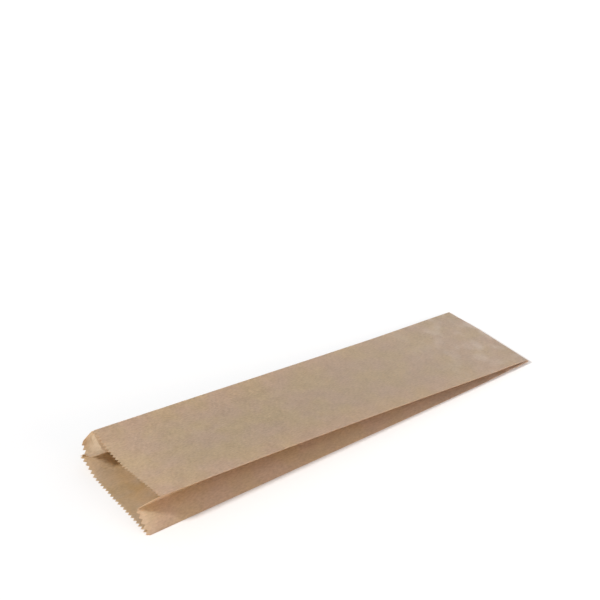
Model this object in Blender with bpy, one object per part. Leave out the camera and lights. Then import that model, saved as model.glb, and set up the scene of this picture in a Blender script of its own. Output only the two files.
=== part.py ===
"""Gusseted kraft-paper bag for one wine bottle, lying on its back with its mouth propped a little open.

The bag is one sheet of paper. It wraps into a tube with a glued lap down the back panel, its sides are
folded inwards as gussets, and its closed end is pressed flat, folded under and glued to the back panel.
The sheet is laid out here as a surface, ply by ply, and then given its thickness.

Metres, +Z up, +X towards the closed end, +Y towards the far side. The origin is under the middle of the bag.
"""
import math

import bmesh
import bpy

# The tube, as it measures when it is pressed flat
WIDTH = 0.110
LENGTH = 0.4085
GUSSET_DEPTH = 0.022
LAP_WIDTH = 0.013
LAP_OFFSET = 0.004

# The paper, with the air or glue left between two plies that are pressed together
PAPER = 0.00015
PLY_GAP = 0.00007

# The mouth: the front panel is cut back from the rest, and every edge there is cut in teeth
LIP = 0.013
TOOTH_PITCH = 0.0041
TOOTH_DEPTH = 0.0028

# The closed end, folded under
FLAP = 0.018
FLAP_RAMP = 0.090
BEND_STEPS = 4

# How far the gussets stand open at the mouth, how their lips droop, and how quickly that closes along the bag
NEAR_OPENING = math.radians(45.5)
NEAR_LEAN = math.radians(3.0)
NEAR_DROOP = math.radians(2.5)
NEAR_CLOSING = 0.80
FAR_OPENING = math.radians(28.5)
FAR_CLOSING = 1.08

# How the loose paper hangs and curls at the mouth
FRONT_SAG = 0.0068
FRONT_SAG_SKEW = 1.55
LOWER_BOW = 0.0025
UPPER_BOW = 0.0010
CORNER_LIFT = 0.0080
CORNER_SPREAD = 0.028
FLAP_CURL = 0.32

# Rows of the sheet between the lip and the fold, as shares of the way there
TUBE_ROWS = (0.05, 0.12, 0.22, 0.34, 0.46, 0.58, 0.70, 0.80, 0.88, 0.935, 0.97, 0.99)

PAPER_COLOUR = (0.50, 0.35, 0.22, 1.0)
PAPER_ROUGHNESS = 0.82
SHARP_ANGLE = math.radians(30.0)

# The distance between the middles of two plies that are pressed together, and a flat stack of four
PLY = PAPER + PLY_GAP
STACK = 3 * PLY + PAPER
FOLD_X = LENGTH - STACK - PLY_GAP / 2
BACK_LIFT = STACK + PLY_GAP
FOLD_EDGE = WIDTH / 2 - PAPER / 2

# The front panel's place among the plies, counted round the tube from the lap
FRONT = 3


def smooth(share):
    """Eases from 0 to 1."""
    share = min(max(share, 0.0), 1.0)
    return share * share * (3 - 2 * share)


def teeth_along(length):
    """How many teeth fit a stretch of cut edge."""
    return max(2, round(length / TOOTH_PITCH))


def closing(x, power):
    """How far the tube still stands open at x: 1 at the mouth and 0 at the fold."""
    return max(0.0, 1 - x / FOLD_X) ** power


def ply(start, end, count, bow=0.0, skew=1.0):
    """Points of one ply, cut across, from start to end, bowed to the left of the way there."""
    along = (end[0] - start[0], end[1] - start[1])
    span = math.hypot(*along)
    points = []
    for step in range(count + 1):
        share = step / count
        rise = bow * math.sin(math.pi * share ** skew)
        points.append((start[0] + along[0] * share - along[1] / span * rise,
                       start[1] + along[1] * share + along[0] / span * rise))
    return points


def back_panel(x, y):
    """Height of the back panel's ply: on the floor, over the flap, and curled up at the far corner."""
    over_flap = smooth((x - FOLD_X + FLAP + FLAP_RAMP) / FLAP_RAMP)
    at_side = smooth((y - FOLD_EDGE + CORNER_SPREAD) / CORNER_SPREAD)
    return PAPER / 2 + BACK_LIFT * over_flap + CORNER_LIFT * closing(x, FAR_CLOSING) * at_side


def gusset(side, x, open_share, opening, lean, curl):
    """The lower and upper halves of one side fold; side is -1 for the near one and 1 for the far one.

    A curled upper half keeps its length along the paper, so it bows out as its ends come closer.
    """
    count = teeth_along(GUSSET_DEPTH)
    low_angle = (opening - lean) * open_share
    high_angle = (opening + lean) * open_share
    low = (side * FOLD_EDGE, back_panel(x, side * FOLD_EDGE) + PLY)
    crease = (low[0] - side * GUSSET_DEPTH * math.cos(low_angle),
              low[1] + GUSSET_DEPTH * math.sin(low_angle))
    above = (crease[0], crease[1] + PLY)
    reach = 1 - FLAP_CURL * curl
    high = (above[0] + side * GUSSET_DEPTH * reach * math.cos(high_angle),
            above[1] + GUSSET_DEPTH * reach * math.sin(high_angle))
    curl_bow = GUSSET_DEPTH * 2 / math.pi * math.sqrt(reach * (1 - reach))
    lower = ply(low, crease, count, -side * LOWER_BOW * open_share)
    upper = ply(above, high, count, side * (UPPER_BOW * open_share - curl_bow))
    return lower, upper


def section(x):
    """The sheet cut across at x: its plies in order round the tube, each a list of (y, z) points."""
    outer_edge = LAP_OFFSET + LAP_WIDTH / 2
    inner_edge = LAP_OFFSET - LAP_WIDTH / 2
    near_back = ply((outer_edge, 0), (-FOLD_EDGE, 0), teeth_along(FOLD_EDGE + outer_edge))
    far_back = ply((FOLD_EDGE, 0), (outer_edge, 0), teeth_along(FOLD_EDGE - outer_edge))
    lap = ply((outer_edge, 0), (inner_edge, 0), teeth_along(LAP_WIDTH))
    near_back = [(y, back_panel(x, y)) for y, _ in near_back]
    far_back = [(y, back_panel(x, y)) for y, _ in far_back[:-1]] + [(y, back_panel(x, y) + PLY) for y, _ in lap]

    at_lip = 1 - smooth(x / (LIP + TOOTH_DEPTH))
    near_open = closing(x, NEAR_CLOSING)
    far_open = closing(x, FAR_CLOSING)
    near_opening = NEAR_OPENING - NEAR_DROOP * at_lip
    near_lower, near_upper = gusset(-1, x, near_open, near_opening, NEAR_LEAN, 0.0)
    far_lower, far_upper = gusset(1, x, far_open, FAR_OPENING, 0.0, at_lip)
    near_top = (near_upper[-1][0], near_upper[-1][1] + PLY)
    far_top = (far_upper[-1][0], far_upper[-1][1] + PLY)
    front = ply(near_top, far_top, teeth_along(WIDTH), -FRONT_SAG * far_open, FRONT_SAG_SKEW)
    return [near_back, near_lower, near_upper, front, far_upper[::-1], far_lower[::-1], far_back]


def tube_row(x):
    """One row of the sheet in the open tube."""
    return [[(x - LENGTH / 2, y, z) for y, z in points] for points in section(x)]


def turned_row(angle, run):
    """One row of the pressed stack, turned under by an angle and carried on by a run."""
    axis = BACK_LIFT - PLY_GAP / 2
    row = []
    for points in section(FOLD_X):
        turned = []
        for y, z in points:
            radius = z - axis
            turned.append((FOLD_X - LENGTH / 2 + radius * math.sin(angle) - run, y,
                           axis + radius * math.cos(angle)))
        row.append(turned)
    return row


def join_rows(mesh, first, second):
    """Faces between two rows, over each ply and round the fold from each ply to the next."""
    for index in range(len(first)):
        if not first[index] or not second[index]:
            continue
        near, far = list(first[index]), list(second[index])
        if index + 1 < len(first) and first[index + 1] and second[index + 1]:
            near.append(first[index + 1][0])
            far.append(second[index + 1][0])
        for step in range(len(near) - 1):
            mesh.faces.new((near[step], near[step + 1], far[step + 1], far[step]))


def cut_teeth(mesh, base, tips, outward):
    """A row of pointed teeth along one ply; tips holds the ply's points at the teeth's reach."""
    for step in range(len(base) - 1):
        tip = mesh.verts.new([(a + b) / 2 for a, b in zip(tips[step], tips[step + 1])])
        corners = (base[step + 1], base[step], tip) if outward else (base[step], base[step + 1], tip)
        mesh.faces.new(corners)


def lay_row(mesh, points, with_front=True):
    """The vertices of one row, with the front panel left out where it is cut away."""
    return [[mesh.verts.new(point) for point in ply_points] if with_front or index != FRONT else []
            for index, ply_points in enumerate(points)]


def build_sheet():
    """The whole sheet as one surface, from the teeth at the mouth to the teeth of the glued flap."""
    mesh = bmesh.new()
    lip_end = LIP + TOOTH_DEPTH
    rows = [lay_row(mesh, tube_row(x), False) for x in (TOOTH_DEPTH, lip_end * 0.45, lip_end * 0.75)]
    rows.append(lay_row(mesh, tube_row(lip_end)))
    rows += [lay_row(mesh, tube_row(lip_end + (FOLD_X - lip_end) * share)) for share in TUBE_ROWS]
    rows += [lay_row(mesh, turned_row(math.pi * step / BEND_STEPS, 0.0)) for step in range(BEND_STEPS + 1)]
    rows.append(lay_row(mesh, turned_row(math.pi, FLAP - TOOTH_DEPTH)))
    for first, second in zip(rows, rows[1:]):
        join_rows(mesh, first, second)

    mouth_tips = tube_row(0.0)
    front_tips = tube_row(LIP)
    flap_tips = turned_row(math.pi, FLAP)
    for index in range(len(mouth_tips)):
        if index == FRONT:
            cut_teeth(mesh, rows[3][index], front_tips[index], True)
        else:
            cut_teeth(mesh, rows[0][index], mouth_tips[index], True)
        cut_teeth(mesh, rows[-1][index], flap_tips[index], False)
    return mesh


def paper_material():
    """Plain brown kraft paper."""
    material = bpy.data.materials.new("kraft_paper")
    material.use_nodes = True
    shader = material.node_tree.nodes["Principled BSDF"]
    shader.inputs["Base Color"].default_value = PAPER_COLOUR
    shader.inputs["Roughness"].default_value = PAPER_ROUGHNESS
    shader.inputs["Metallic"].default_value = 0.0
    return material


def build_bag():
    """The bag: the sheet with its thickness."""
    sheet = build_sheet()
    mesh = bpy.data.meshes.new("kraft_paper_bag")
    sheet.to_mesh(mesh)
    sheet.free()
    mesh.shade_smooth()
    mesh.set_sharp_from_angle(angle=SHARP_ANGLE)
    mesh.materials.append(paper_material())
    bag = bpy.data.objects.new("kraft_paper_bag", mesh)
    bpy.context.collection.objects.link(bag)
    thickness = bag.modifiers.new("paper", 'SOLIDIFY')
    thickness.thickness = PAPER
    thickness.offset = 0.0
    thickness.use_even_offset = True
    thickness.use_quality_normals = True
    return bag


for old in list(bpy.data.objects):
    bpy.data.objects.remove(old, do_unlink=True)
build_bag()
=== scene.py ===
"""Looks of a gusseted kraft-paper bag for one wine bottle, lying on its back with its mouth propped open.

The bag is one sheet of paper, laid out here ply by ply as the CAD lays it out, but finer. Geometry Nodes cut
the teeth along its edges and let the slack paper cockle, and Solidify gives it its thickness.

Metres, +Z up, +X towards the closed end, +Y towards the far side. The origin is under the middle of the bag.
"""
import math

import bmesh
import bpy
from mathutils import Matrix, Vector


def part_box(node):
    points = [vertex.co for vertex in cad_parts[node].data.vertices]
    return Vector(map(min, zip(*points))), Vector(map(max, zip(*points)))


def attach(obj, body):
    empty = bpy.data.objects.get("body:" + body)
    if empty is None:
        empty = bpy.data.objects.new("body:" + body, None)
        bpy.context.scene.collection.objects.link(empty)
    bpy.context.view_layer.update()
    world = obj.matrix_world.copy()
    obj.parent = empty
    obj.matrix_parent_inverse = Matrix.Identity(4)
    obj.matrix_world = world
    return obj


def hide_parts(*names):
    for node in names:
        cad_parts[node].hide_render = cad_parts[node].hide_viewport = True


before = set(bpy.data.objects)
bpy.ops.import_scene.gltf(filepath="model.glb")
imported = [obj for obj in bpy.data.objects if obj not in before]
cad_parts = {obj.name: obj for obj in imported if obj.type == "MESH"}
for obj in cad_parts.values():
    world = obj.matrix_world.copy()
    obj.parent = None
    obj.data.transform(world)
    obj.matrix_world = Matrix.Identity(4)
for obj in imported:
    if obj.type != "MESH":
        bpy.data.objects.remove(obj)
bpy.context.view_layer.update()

low_corner, high_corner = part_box("kraft_paper_bag")

# The tube, as it measures when it is pressed flat
LENGTH = high_corner.x - low_corner.x
WIDTH = high_corner.y - low_corner.y
GUSSET_DEPTH = 0.022
LAP_WIDTH = 0.013
LAP_OFFSET = 0.004

# The paper, the air or glue between two plies that are pressed together, and how high the lap's edge stands
PAPER = 0.00015
PLY_GAP = 0.00007
GLUED_EDGE = 0.00002

# The mouth: the front panel is cut back from the rest, and each cut edge is drawn out of a narrow margin into
# uneven teeth
LIP = 0.013
TOOTH_PITCH = 0.0041
TOOTH_DEPTH = 0.0028
TOOTH_UNEVENNESS = 0.22
CUT_MARGIN = 0.00012

# The closed end, folded under
FLAP = 0.018
FLAP_RAMP = 0.090
BEND_STEPS = 6

# How far the gussets stand open at the mouth, how the near lip droops, and how quickly they close
NEAR_OPENING = math.radians(45.5)
NEAR_LEAN = math.radians(3.0)
NEAR_DROOP = math.radians(2.5)
NEAR_CLOSING = 0.80
FAR_OPENING = math.radians(28.5)
FAR_CLOSING = 1.08

# How the loose paper hangs and curls at the mouth, and how the near gusset is pinched in at its lip
FRONT_SAG = 0.0068
FRONT_SAG_SKEW = 1.55
LOWER_BOW = 0.0025
UPPER_BOW = 0.0010
CORNER_LIFT = 0.0080
CORNER_SPREAD = 0.028
FLAP_CURL = 0.32
LIP_PINCH = 0.0042
LIP_PINCH_REACH = 0.0104

# How far the slack paper cockles at the mouth, and how much less the gussets do
COCKLE_HEIGHT = 0.00085
COCKLE_LENGTH = 0.060
COCKLE_DETAIL = 1.5
COCKLE_CLOSING = 0.7
GUSSET_SLACK = 0.35

# How far the front panel puckers beside the glued end
PUCKER_HEIGHT = 0.00045
PUCKER_LENGTH = 0.022
PUCKER_DETAIL = 1.0
PUCKER_RAISE = 0.5
PUCKER_REACH = 0.110
PUCKER_MARGIN = 0.012

# What the uneven teeth, the cockles and the puckers are drawn from
SEED = 4.0

# How far the closed end springs up off the table at its near side
END_SPRING = 0.0018
END_SPRING_REACH = 0.050
END_SPRING_SPREAD = 0.045

# The fineness of the sheet's mesh
COLUMNS_PER_TOOTH = 2
ROW_SPACING = 0.0026
SHARP_ANGLE = math.radians(28.0)

# The distance between the middles of two plies that are pressed together, and a flat stack of four
PLY = PAPER + PLY_GAP
STACK = 3 * PLY + PAPER
FOLD_X = LENGTH - STACK - PLY_GAP / 2
BACK_LIFT = STACK + PLY_GAP
FOLD_EDGE = WIDTH / 2 - PAPER / 2

# The places of the front panel and of the back panel's two parts, counted round the tube from the lap
FRONT = 3
BACK = (0, 6)

# The light that each face of the paper lets through, as a share of what falls on it, and its colour
LET_THROUGH = 0.45
GLOW_TONE = (1.0, 0.80, 0.59, 1.0)

# The hues that the pulp drifts between, and the tone of its flecks
ROSY = (0.99, 0.975, 0.985, 1.0)
GOLDEN = (1.0, 1.0, 0.88, 1.0)
PALE = (0.99, 1.03, 1.10, 1.0)
AMBER = (1.0, 0.95, 0.76, 1.0)
FLECK_TONE = (0.80, 0.74, 0.66, 1.0)

# The two faces of the paper: light and dark tones, hues, roughness, and the height of the relief
OUTSIDE = {
    "light_tone": (0.68, 0.585, 0.475, 1.0),
    "dark_tone": (0.46, 0.393, 0.305, 1.0),
    "hues": (ROSY, GOLDEN),
    "roughness": 0.62,
    "relief": 0.00011,
}
INSIDE = {
    "light_tone": (0.645, 0.53, 0.385, 1.0),
    "dark_tone": (0.47, 0.38, 0.25, 1.0),
    "hues": (AMBER, PALE),
    "roughness": 0.80,
    "relief": 0.00012,
}
ROUGHNESS_SPREAD = 0.08
GLOSS = 0.20

# The paper's patterns: how fine each one is to the metre, its detail, and its stretch over the sheet
BROAD = (34.0, 3.0, (1.0, 1.0, 1.0))
PATCHES = (70.0, 2.0, (1.0, 0.7, 1.0))
CLOUDS = (120.0, 3.0, (0.7, 1.0, 1.0))
FIBRES = (650.0, 2.0, (0.5, 1.2, 1.0))
FLECKS = (1300.0, 1.0, (0.5, 1.0, 1.0))

# Between which values of a pattern its change comes in: the clouds and fibres give the tone, the broad one the
# hue, and the flecks and patches their own
TONE_LIMITS = (0.36, 0.64)
HUE_LIMITS = (0.40, 0.60)
FLECK_LIMITS = (0.64, 0.76)
PATCH_LIMITS = (0.48, 0.64)

# The clouds' share of the tone and of the relief, where the fibres make up the rest
CLOUDS_IN_TONE = 0.30
CLOUDS_IN_RELIEF = 0.70

# Painted sheen: a paler tone painted on towards the closed end, and in lighter patches there
SHEEN_TONE = (0.92, 0.90, 0.86, 1.0)
SHEEN_SHARE = 0.20
SHEEN_REACH = 0.26
SHEEN_PATCHES_SHARE = 0.36
SHEEN_PATCHES_REACH = 0.10

# The camera, with the lens that gives the photograph's field at 600 pixels across
LENS = 78.0
SENSOR = 36.0
CAMERA_PLACE = Vector((-0.3555 - LENGTH / 2, -0.7445, 0.6731))
CAMERA_PITCH = math.radians(30.97)
CAMERA_YAW = math.radians(53.98)
CLIP_START = 0.01

# The studio: how bright the room is, the softbox before the mouth, and the warm card beyond the near side
ROOM = 0.495
LAMP_PLACE = Vector((-2.45, 0.20, 1.93))
LAMP_SIZE = (0.32, 0.50)
LAMP_POWER = 77.0
CARD_PLACE = Vector((0.60, -1.45, 0.35))
CARD_SIZE = (1.60, 0.60)
CARD_POWER = 13.0
CARD_TONE = (1.0, 0.66, 0.49)

# The floor: what it throws back onto the bag, and what the camera sees, which is its tone, that tone as a
# plain share, the white that its glow makes up to, and how much whiter still it turns far from the bag
FLOOR_SIZE = 8.0
FLOOR_DROP = 0.0003
FLOOR_GREY = (0.80, 0.80, 0.80, 1.0)
FLOOR_TONE = (0.898, 0.901, 0.904, 1.0)
FLOOR_SHADE = 0.90
FLOOR_WHITE = 0.99
FAR_START = 0.30
FAR_END = 1.2
FAR_WHITER = 0.8


def smooth(share):
    """Eases from 0 to 1."""
    share = min(max(share, 0.0), 1.0)
    return share * share * (3 - 2 * share)


def teeth_along(length):
    """How many teeth fit a stretch of cut edge."""
    return max(2, round(length / TOOTH_PITCH))


def closing(x, power):
    """How far the tube still stands open at x: 1 at the mouth and 0 at the fold."""
    return max(0.0, 1 - x / FOLD_X) ** power


def ply(start, end, length, bow=0.0, skew=1.0):
    """Points of one ply of that length, cut across, from start to end, bowed to the left of the way there."""
    count = teeth_along(length) * COLUMNS_PER_TOOTH
    along = (end[0] - start[0], end[1] - start[1])
    span = math.hypot(*along)
    points = []
    for step in range(count + 1):
        share = step / count
        rise = bow * math.sin(math.pi * share ** skew)
        points.append((start[0] + along[0] * share - along[1] / span * rise,
                       start[1] + along[1] * share + along[0] / span * rise))
    return points


def back_panel(x, y):
    """Height of the back panel's ply: on the floor, over the flap, and curled up at the far corner."""
    over_flap = smooth((x - FOLD_X + FLAP + FLAP_RAMP) / FLAP_RAMP)
    at_side = smooth((y - FOLD_EDGE + CORNER_SPREAD) / CORNER_SPREAD)
    return PAPER / 2 + BACK_LIFT * over_flap + CORNER_LIFT * closing(x, FAR_CLOSING) * at_side


def gusset(side, x, open_share, opening, lean, curl, lip_share):
    """The lower and upper halves of one side fold; side is -1 for the near one and 1 for the far one.

    A curled upper half keeps its length along the paper, so it bows as its ends come closer. At a pinched lip
    the lower half bows in and the upper one is straight.
    """
    low_angle = (opening - lean) * open_share
    high_angle = (opening + lean) * open_share
    low = (side * FOLD_EDGE, back_panel(x, side * FOLD_EDGE) + PLY)
    crease = (low[0] - side * GUSSET_DEPTH * math.cos(low_angle),
              low[1] + GUSSET_DEPTH * math.sin(low_angle))
    above = (crease[0], crease[1] + PLY)
    reach = 1 - FLAP_CURL * curl
    high = (above[0] + side * GUSSET_DEPTH * reach * math.cos(high_angle),
            above[1] + GUSSET_DEPTH * reach * math.sin(high_angle))
    curl_bow = GUSSET_DEPTH * 2 / math.pi * math.sqrt(reach * (1 - reach))
    lower_bow = LOWER_BOW * open_share - LIP_PINCH * lip_share
    upper_bow = UPPER_BOW * open_share * (1 - lip_share) - curl_bow
    lower = ply(low, crease, GUSSET_DEPTH, -side * lower_bow)
    upper = ply(above, high, GUSSET_DEPTH, side * upper_bow)
    return lower, upper


def section(x):
    """The sheet cut across at x: its plies in order round the tube, each a list of (y, z) points.

    The lap lies on the back panel, and runs out level with it at its glued edge.
    """
    outer_edge = LAP_OFFSET + LAP_WIDTH / 2
    inner_edge = LAP_OFFSET - LAP_WIDTH / 2
    near_back = ply((outer_edge, 0), (-FOLD_EDGE, 0), FOLD_EDGE + outer_edge)
    far_back = ply((FOLD_EDGE, 0), (outer_edge, 0), FOLD_EDGE - outer_edge)
    lap = ply((outer_edge, 0), (inner_edge, 0), LAP_WIDTH)
    near_back = [(y, back_panel(x, y)) for y, _ in near_back]
    far_back = [(y, back_panel(x, y)) for y, _ in far_back[:-1]]
    for number, (y, _) in enumerate(lap):
        pressed = smooth(number / (len(lap) - 1))
        far_back.append((y, back_panel(x, y) + PLY + (GLUED_EDGE - PLY) * pressed))

    at_lip = 1 - smooth(x / (LIP + TOOTH_DEPTH))
    near_open = closing(x, NEAR_CLOSING)
    far_open = closing(x, FAR_CLOSING)
    near_opening = NEAR_OPENING - NEAR_DROOP * at_lip
    near_lip = max(0.0, 1 - x / LIP_PINCH_REACH)
    far_curl = max(0.0, 1 - x / LIP)
    near_lower, near_upper = gusset(-1, x, near_open, near_opening, NEAR_LEAN, 0.0, near_lip)
    far_lower, far_upper = gusset(1, x, far_open, FAR_OPENING, 0.0, far_curl, 0.0)
    near_top = (near_upper[-1][0], near_upper[-1][1] + PLY)
    far_top = (far_upper[-1][0], far_upper[-1][1] + PLY)
    front = ply(near_top, far_top, WIDTH, -FRONT_SAG * far_open, FRONT_SAG_SKEW)
    return [near_back, near_lower, near_upper, front, far_upper[::-1], far_lower[::-1], far_back]


def sprung(x, y, z):
    """A point of the sheet, with the closed end springing up towards its near side."""
    along = smooth((x - LENGTH / 2 + END_SPRING_REACH) / END_SPRING_REACH)
    across = smooth((WIDTH / 2 - y) / END_SPRING_SPREAD)
    return Vector((x, y, z + END_SPRING * along * across))


def tube_row(x):
    """One row of the sheet in the open tube."""
    return [[sprung(x - LENGTH / 2, y, z) for y, z in points] for points in section(x)]


def turned_row(angle, run):
    """One row of the pressed stack, turned under by an angle and carried on by a run."""
    axis = BACK_LIFT - PLY_GAP / 2
    row = []
    for points in section(FOLD_X):
        turned = []
        for y, z in points:
            radius = z - axis
            turned.append(sprung(FOLD_X - LENGTH / 2 + radius * math.sin(angle) - run, y,
                                 axis + radius * math.cos(angle)))
        row.append(turned)
    return row


def evenly(start, end, spacing):
    """Places from start up to, but not with, end."""
    count = max(1, round((end - start) / spacing))
    return [start + (end - start) * step / count for step in range(count)]


def sheet_rows():
    """Every row of the sheet, as (distance along the paper, points)."""
    front_edge = LIP + TOOTH_DEPTH
    places = [TOOTH_DEPTH - CUT_MARGIN]
    places += evenly(TOOTH_DEPTH, front_edge - CUT_MARGIN, ROW_SPACING)
    places += [front_edge - CUT_MARGIN]
    places += evenly(front_edge, FOLD_X, ROW_SPACING)
    rows = [(x, tube_row(x)) for x in places]
    for step in range(BEND_STEPS + 1):
        angle = math.pi * step / BEND_STEPS
        rows.append((FOLD_X + STACK * angle / 2, turned_row(angle, 0.0)))
    after_bend = rows[-1][0]
    flap_run = FLAP - TOOTH_DEPTH
    runs = evenly(0.0, flap_run, ROW_SPACING)[1:] + [flap_run, flap_run + CUT_MARGIN]
    rows += [(after_bend + run, turned_row(math.pi, run)) for run in runs]
    return rows


def slackness(along, index, share):
    """How freely the paper cockles: most in the middle of the front panel's mouth, and not at a fold."""
    if index in BACK:
        return 0.0
    freedom = 1.0 if index == FRONT else GUSSET_SLACK
    return freedom * math.sin(math.pi * share) * closing(min(along, FOLD_X), COCKLE_CLOSING)


def puckering(along, index, share):
    """How freely the front panel puckers beside the glued end."""
    if index != FRONT or along > FOLD_X:
        return 0.0
    near_end = smooth((along - FOLD_X + PUCKER_REACH) / PUCKER_REACH)
    return near_end * math.sin(math.pi * share) * smooth((FOLD_X - along) / PUCKER_MARGIN)


def build_sheet():
    """The sheet as one surface, with what the trees below need to know at each point."""
    rows = sheet_rows()
    front_start = LIP + TOOTH_DEPTH - 2 * CUT_MARGIN
    front_from = next(number for number, (along, _) in enumerate(rows) if along > front_start)
    last = len(rows) - 1
    mesh = bmesh.new()
    sheet_place = mesh.verts.layers.float_vector.new("sheet")
    cut_way = mesh.verts.layers.float_vector.new("cut_way")
    round_teeth = mesh.verts.layers.float.new("round_teeth")
    slack = mesh.verts.layers.float.new("slack")
    pucker = mesh.verts.layers.float.new("pucker")

    grid = []
    for number, (along, points) in enumerate(rows):
        line = []
        teeth_so_far = 0
        for index, ply_points in enumerate(points):
            for step, point in enumerate(ply_points):
                if index == FRONT and number < front_from:
                    line.append(None)
                    continue
                vert = mesh.verts.new(point)
                teeth = teeth_so_far + step / COLUMNS_PER_TOOTH
                share = step / (len(ply_points) - 1)
                vert[sheet_place] = (along, teeth * TOOTH_PITCH, 0.0)
                vert[round_teeth] = teeth
                vert[slack] = slackness(along, index, share)
                vert[pucker] = puckering(along, index, share)
                edge_row = front_from if index == FRONT else 0
                if number == edge_row:
                    onward = rows[number + 1][1][index][step]
                    vert[cut_way] = (point - onward).normalized()
                elif number == last:
                    vert[cut_way] = Vector((-1.0, 0.0, 0.0))
                line.append(vert)
            teeth_so_far += (len(ply_points) - 1) // COLUMNS_PER_TOOTH
        grid.append(line)
    for first, second in zip(grid, grid[1:]):
        for column in range(len(first) - 1):
            corners = (first[column], second[column], second[column + 1], first[column + 1])
            if all(corners):
                mesh.faces.new(corners)
    return mesh


def node(tree, kind, **settings):
    """A new node with its settings."""
    made = tree.nodes.new(kind)
    for name, value in settings.items():
        setattr(made, name, value)
    return made


def feed(tree, target, source):
    """Links a socket to another, or sets it to a plain value."""
    if isinstance(source, bpy.types.NodeSocket):
        tree.links.new(source, target)
    else:
        target.default_value = source


def math_node(tree, operation, *sources):
    """A Math node's result."""
    made = node(tree, "ShaderNodeMath", operation=operation)
    for socket, source in zip(made.inputs, sources):
        feed(tree, socket, source)
    return made.outputs[0]


def named(tree, name, data_type='FLOAT'):
    """A point attribute of the sheet."""
    made = node(tree, "GeometryNodeInputNamedAttribute", data_type=data_type)
    made.inputs["Name"].default_value = name
    return made.outputs["Attribute"]


def scaled(tree, vector, amount):
    """A vector times an amount."""
    made = node(tree, "ShaderNodeVectorMath", operation='SCALE')
    feed(tree, made.inputs[0], vector)
    feed(tree, made.inputs["Scale"], amount)
    return made.outputs[0]


def waviness(tree, vector, wave_length, seed, detail):
    """Smooth noise from -1 to 1 with hills a wave length apart."""
    texture = node(tree, "ShaderNodeTexNoise", noise_dimensions='4D')
    feed(tree, texture.inputs["Vector"], scaled(tree, vector, math_node(tree, 'DIVIDE', 1.0, wave_length)))
    feed(tree, texture.inputs["W"], seed)
    feed(tree, texture.inputs["Scale"], 1.0)
    feed(tree, texture.inputs["Detail"], detail)
    around_zero = math_node(tree, 'SUBTRACT', texture.outputs[0], 0.5)
    return math_node(tree, 'MULTIPLY', around_zero, 2.0)


def moved(tree, geometry, offset):
    """The geometry with its points moved."""
    made = node(tree, "GeometryNodeSetPosition")
    feed(tree, made.inputs["Geometry"], geometry)
    feed(tree, made.inputs["Offset"], offset)
    return made.outputs["Geometry"]


def finishing_tree():
    """Cuts the teeth along the open edges, and cockles the slack paper."""
    tree = bpy.data.node_groups.new("cut_and_cockle", 'GeometryNodeTree')
    tree.interface.new_socket("Geometry", in_out='INPUT', socket_type='NodeSocketGeometry')
    for name in ("Tooth depth", "Tooth unevenness", "Cockle height", "Cockle length", "Pucker height",
                 "Pucker length", "Seed"):
        tree.interface.new_socket(name, in_out='INPUT', socket_type='NodeSocketFloat')
    tree.interface.new_socket("Paper", in_out='INPUT', socket_type='NodeSocketMaterial')
    tree.interface.new_socket("Geometry", in_out='OUTPUT', socket_type='NodeSocketGeometry')
    given = node(tree, "NodeGroupInput").outputs
    result = node(tree, "NodeGroupOutput")

    teeth = named(tree, "round_teeth")
    wave = math_node(tree, 'MULTIPLY', math_node(tree, 'PINGPONG', teeth, 0.5), 2.0)
    tooth = node(tree, "ShaderNodeTexWhiteNoise", noise_dimensions='2D')
    joined = node(tree, "ShaderNodeCombineXYZ")
    feed(tree, joined.inputs["X"], math_node(tree, 'FLOOR', teeth))
    feed(tree, joined.inputs["Y"], given["Seed"])
    feed(tree, tooth.inputs["Vector"], joined.outputs[0])
    shorter = math_node(tree, 'MULTIPLY', tooth.outputs["Value"], given["Tooth unevenness"])
    reach = math_node(tree, 'MULTIPLY', given["Tooth depth"], math_node(tree, 'SUBTRACT', 1.0, shorter))
    cut_way = named(tree, "cut_way", 'FLOAT_VECTOR')
    cut = moved(tree, given["Geometry"], scaled(tree, cut_way, math_node(tree, 'MULTIPLY', wave, reach)))

    sheet = named(tree, "sheet", 'FLOAT_VECTOR')
    normal = node(tree, "GeometryNodeInputNormal").outputs["Normal"]
    cockle = waviness(tree, sheet, given["Cockle length"], given["Seed"], COCKLE_DETAIL)
    cockle = math_node(tree, 'MULTIPLY', cockle, given["Cockle height"])
    cockle = math_node(tree, 'MULTIPLY', cockle, named(tree, "slack"))
    pucker = waviness(tree, sheet, given["Pucker length"], given["Seed"], PUCKER_DETAIL)
    pucker = math_node(tree, 'MULTIPLY', math_node(tree, 'ADD', pucker, PUCKER_RAISE), given["Pucker height"])
    pucker = math_node(tree, 'MULTIPLY', pucker, named(tree, "pucker"))
    lift = math_node(tree, 'ADD', cockle, math_node(tree, 'MAXIMUM', pucker, 0.0))
    cockled = moved(tree, cut, scaled(tree, normal, lift))

    real = node(tree, "GeometryNodeRealizeInstances")
    feed(tree, real.inputs["Geometry"], cockled)
    coloured = node(tree, "GeometryNodeSetMaterial")
    feed(tree, coloured.inputs["Geometry"], real.outputs["Geometry"])
    feed(tree, coloured.inputs["Material"], given["Paper"])
    feed(tree, result.inputs["Geometry"], coloured.outputs["Geometry"])
    return tree


def noise(tree, place, scale, detail, stretch):
    """Noise of a fineness to the metre, stretched over the sheet."""
    turned = node(tree, "ShaderNodeMapping")
    feed(tree, turned.inputs["Vector"], place)
    feed(tree, turned.inputs["Scale"], stretch)
    texture = node(tree, "ShaderNodeTexNoise")
    feed(tree, texture.inputs["Vector"], turned.outputs[0])
    feed(tree, texture.inputs["Scale"], scale)
    feed(tree, texture.inputs["Detail"], detail)
    return texture.outputs[0]


def ramp(tree, value, start, end, low=0.0, high=1.0):
    """Runs from low to high as the value runs from start to end."""
    made = node(tree, "ShaderNodeMapRange")
    sources = {"Value": value, "From Min": start, "From Max": end, "To Min": low, "To Max": high}
    for name, source in sources.items():
        feed(tree, made.inputs[name], source)
    return made.outputs["Result"]


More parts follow.
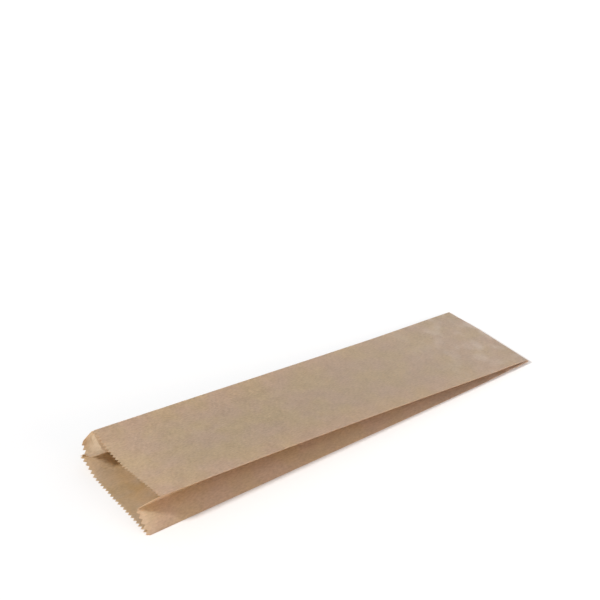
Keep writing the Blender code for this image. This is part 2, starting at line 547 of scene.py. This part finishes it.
def mixed(tree, share, first, second, blend='MIX'):
    """The first colour with a share of the second."""
    made = node(tree, "ShaderNodeMix", data_type='RGBA', blend_type=blend)
    for name, source in {"Factor": share, "A": first, "B": second}.items():
        feed(tree, made.inputs[name], source)
    return made.outputs["Result"]


def together(tree, first, second, first_share):
    """Two values, weighed by their shares."""
    first_part = math_node(tree, 'MULTIPLY', first, first_share)
    second_part = math_node(tree, 'MULTIPLY', second, 1.0 - first_share)
    return math_node(tree, 'ADD', first_part, second_part)


def painted_sheen_share(tree, place):
    """How much painted sheen pales the paper: more towards the closed end, and most in its patches there."""
    along = node(tree, "ShaderNodeSeparateXYZ")
    feed(tree, along.inputs[0], place)
    patches = ramp(tree, noise(tree, place, *PATCHES), *PATCH_LIMITS)
    patches_here = ramp(tree, along.outputs["X"], FOLD_X - SHEEN_PATCHES_REACH, FOLD_X, 0.0, SHEEN_PATCHES_SHARE)
    even_sheen = ramp(tree, along.outputs["X"], FOLD_X - SHEEN_REACH, FOLD_X, 0.0, SHEEN_SHARE)
    return math_node(tree, 'ADD', even_sheen, math_node(tree, 'MULTIPLY', patches, patches_here))


def paper_material(name, light_tone, dark_tone, hues, roughness, relief):
    """Kraft paper: cloudy from its uneven pulp, flecked with fibres along the web, and thin.

    Each face turns part of the light back and lets the rest through, so the two faces together glow golden
    where the light comes from behind.
    """
    material = bpy.data.materials.new(name)
    material.use_nodes = True
    tree = material.node_tree
    shader = tree.nodes["Principled BSDF"]
    sheet = node(tree, "ShaderNodeAttribute", attribute_type='GEOMETRY', attribute_name="sheet")
    place = sheet.outputs["Vector"]

    clouds = noise(tree, place, *CLOUDS)
    fibres = noise(tree, place, *FIBRES)
    tone = together(tree, clouds, fibres, CLOUDS_IN_TONE)
    pulp = mixed(tree, ramp(tree, tone, *TONE_LIMITS), dark_tone, light_tone)
    flecks = ramp(tree, noise(tree, place, *FLECKS), *FLECK_LIMITS)
    flecked = mixed(tree, flecks, pulp, FLECK_TONE, 'MULTIPLY')
    hue = mixed(tree, ramp(tree, noise(tree, place, *BROAD), *HUE_LIMITS), *hues)
    tinted = mixed(tree, 1.0, flecked, hue, 'MULTIPLY')
    # The tone with painted sheen, paler towards the closed end and in patches there
    pressed = mixed(tree, painted_sheen_share(tree, place), tinted, SHEEN_TONE)
    feed(tree, shader.inputs["Base Color"], pressed)

    rough = ramp(tree, clouds, 0.0, 1.0, roughness - ROUGHNESS_SPREAD, roughness + ROUGHNESS_SPREAD)
    feed(tree, shader.inputs["Roughness"], rough)
    shader.inputs["Specular IOR Level"].default_value = GLOSS

    bump = node(tree, "ShaderNodeBump")
    bump.inputs["Strength"].default_value = 1.0
    bump.inputs["Distance"].default_value = relief
    feed(tree, bump.inputs["Height"], together(tree, clouds, fibres, CLOUDS_IN_RELIEF))
    feed(tree, shader.inputs["Normal"], bump.outputs["Normal"])

    through = node(tree, "ShaderNodeBsdfTranslucent")
    through.inputs["Color"].default_value = GLOW_TONE
    thin = node(tree, "ShaderNodeMixShader")
    feed(tree, thin.inputs[0], LET_THROUGH)
    feed(tree, thin.inputs[1], shader.outputs[0])
    feed(tree, thin.inputs[2], through.outputs[0])
    feed(tree, tree.nodes["Material Output"].inputs["Surface"], thin.outputs[0])
    return material


def made_plain(worked, name):
    """The mesh of an object with its modifiers worked in; the object itself is removed."""
    bpy.context.view_layer.update()
    evaluated = worked.evaluated_get(bpy.context.evaluated_depsgraph_get())
    mesh = bpy.data.meshes.new_from_object(evaluated)
    bpy.data.objects.remove(worked)
    mesh.name = name
    return mesh


def build_bag():
    """The bag, from its sheet to its paper."""
    outside = paper_material("kraft_paper_outside", **OUTSIDE)
    inside = paper_material("kraft_paper_inside", **INSIDE)
    sheet = build_sheet()
    flat = bpy.data.meshes.new("sheet")
    sheet.to_mesh(flat)
    sheet.free()
    flat.shade_smooth()
    worked = bpy.data.objects.new("sheet", flat)
    bpy.context.scene.collection.objects.link(worked)
    finishing = worked.modifiers.new("finishing", 'NODES')
    finishing.node_group = finishing_tree()
    sizes = {
        "Tooth depth": TOOTH_DEPTH,
        "Tooth unevenness": TOOTH_UNEVENNESS,
        "Cockle height": COCKLE_HEIGHT,
        "Cockle length": COCKLE_LENGTH,
        "Pucker height": PUCKER_HEIGHT,
        "Pucker length": PUCKER_LENGTH,
        "Seed": SEED,
        "Paper": outside,
    }
    for socket in finishing.node_group.interface.items_tree:
        if socket.name in sizes:
            finishing[socket.identifier] = sizes[socket.name]
    cut_sheet = made_plain(worked, "cut_sheet")
    cut_sheet.materials.clear()
    cut_sheet.materials.append(outside)
    cut_sheet.materials.append(inside)
    thin = bpy.data.objects.new("cut_sheet", cut_sheet)
    bpy.context.scene.collection.objects.link(thin)
    thickness = thin.modifiers.new("paper", 'SOLIDIFY')
    thickness.thickness = PAPER
    thickness.offset = 0.0
    thickness.use_even_offset = True
    thickness.use_quality_normals = True
    thickness.material_offset = 1
    mesh = made_plain(thin, "wine_bag")
    mesh.set_sharp_from_angle(angle=SHARP_ANGLE)
    bag = bpy.data.objects.new("wine_bag", mesh)
    bpy.context.scene.collection.objects.link(bag)
    return bag


def in_view(tree):
    """1 for a ray that shows the background: to the camera, off a glossy thing, or through a clear one."""
    rays = node(tree, "ShaderNodeLightPath").outputs
    clear = math_node(tree, 'SUBTRACT', rays["Is Transmission Ray"], rays["Is Diffuse Ray"])
    mirrored = math_node(tree, 'MAXIMUM', rays["Is Glossy Ray"], clear)
    return math_node(tree, 'MAXIMUM', rays["Is Camera Ray"], mirrored)


def build_floor():
    """A white table, which keeps the bag's shadow.

    The camera, and a reflection, also see it glow by what the lamp and the room leave to white.
    """
    mesh = bpy.data.meshes.new("floor")
    half = FLOOR_SIZE / 2
    corners = [(x, y, -FLOOR_DROP) for x, y in ((-half, -half), (half, -half), (half, half), (-half, half))]
    mesh.from_pydata(corners, [], [(0, 1, 2, 3)])
    floor = bpy.data.objects.new("floor", mesh)
    bpy.context.scene.collection.objects.link(floor)
    material = bpy.data.materials.new("white_table")
    material.use_nodes = True
    tree = material.node_tree
    tree.nodes.clear()
    plain = node(tree, "ShaderNodeBsdfDiffuse")
    plain.inputs["Color"].default_value = FLOOR_GREY
    shaded = node(tree, "ShaderNodeBsdfDiffuse")
    shaded.inputs["Color"].default_value = FLOOR_TONE
    place = node(tree, "ShaderNodeTexCoord").outputs["Object"]
    from_lamp = node(tree, "ShaderNodeVectorMath", operation='DISTANCE')
    feed(tree, from_lamp.inputs[0], place)
    from_lamp.inputs[1].default_value = LAMP_PLACE
    # A small flat lamp lights a white table by its power times its height over the cube of the distance
    lamp_share = math_node(tree, 'DIVIDE', LAMP_POWER * LAMP_PLACE.z / math.pi ** 2,
                           math_node(tree, 'POWER', from_lamp.outputs["Value"], 3.0))
    lit = math_node(tree, 'MULTIPLY', math_node(tree, 'ADD', lamp_share, ROOM), FLOOR_SHADE)
    away = node(tree, "ShaderNodeVectorMath", operation='LENGTH')
    feed(tree, away.inputs[0], place)
    far_off = ramp(tree, away.outputs["Value"], FAR_START, FAR_END, 0.0, FAR_WHITER)
    glow_here = math_node(tree, 'ADD', math_node(tree, 'SUBTRACT', FLOOR_WHITE, lit), far_off)
    glow = node(tree, "ShaderNodeEmission")
    glow.inputs["Color"].default_value = (1.0, 1.0, 1.0, 1.0)
    feed(tree, glow.inputs["Strength"], glow_here)
    both = node(tree, "ShaderNodeAddShader")
    feed(tree, both.inputs[0], shaded.outputs[0])
    feed(tree, both.inputs[1], glow.outputs[0])
    table = node(tree, "ShaderNodeMixShader")
    feed(tree, table.inputs[0], in_view(tree))
    feed(tree, table.inputs[1], plain.outputs[0])
    feed(tree, table.inputs[2], both.outputs[0])
    feed(tree, node(tree, "ShaderNodeOutputMaterial").inputs["Surface"], table.outputs[0])
    mesh.materials.append(material)


def shine_from(name, place, size, power, tone):
    """A flat lamp, turned towards the bag."""
    lamp = bpy.data.lights.new(name, 'AREA')
    lamp.shape = 'RECTANGLE'
    lamp.size, lamp.size_y = size
    lamp.energy = power
    lamp.color = tone
    stand = bpy.data.objects.new(name, lamp)
    bpy.context.scene.collection.objects.link(stand)
    stand.location = place
    stand.rotation_euler = (-place).to_track_quat('-Z', 'Y').to_euler()


def build_light():
    """Soft light from all round, and a softbox before the mouth, nearly 40 degrees up.

    It shines into the mouth and leaves the near side in shade, which a warm card softens.
    """
    world = bpy.data.worlds.new("studio")
    bpy.context.scene.world = world
    world.use_nodes = True
    tree = world.node_tree
    background = tree.nodes["Background"]
    background.inputs["Color"].default_value = (1.0, 1.0, 1.0, 1.0)
    to_white = math_node(tree, 'MULTIPLY', in_view(tree), 1.0 - ROOM)
    feed(tree, background.inputs["Strength"], math_node(tree, 'ADD', to_white, ROOM))

    shine_from("softbox", LAMP_PLACE, LAMP_SIZE, LAMP_POWER, (1.0, 1.0, 1.0))
    shine_from("warm_card", CARD_PLACE, CARD_SIZE, CARD_POWER, CARD_TONE)


def build_camera():
    """The photograph's view."""
    data = bpy.data.cameras.new("camera")
    data.sensor_width = SENSOR
    data.lens = LENS
    data.clip_start = CLIP_START
    camera = bpy.data.objects.new("camera", data)
    bpy.context.scene.collection.objects.link(camera)
    forward = Vector((math.cos(CAMERA_PITCH) * math.cos(CAMERA_YAW),
                      math.cos(CAMERA_PITCH) * math.sin(CAMERA_YAW),
                      -math.sin(CAMERA_PITCH)))
    turn = forward.to_track_quat('-Z', 'Y').to_matrix().to_4x4()
    camera.matrix_world = Matrix.Translation(CAMERA_PLACE) @ turn
    bpy.context.scene.camera = camera


build_camera()
build_light()
build_floor()
bag = build_bag()
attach(bag, "root")
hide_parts("kraft_paper_bag")
bpy.context.scene.view_settings.view_transform = 'Standard'
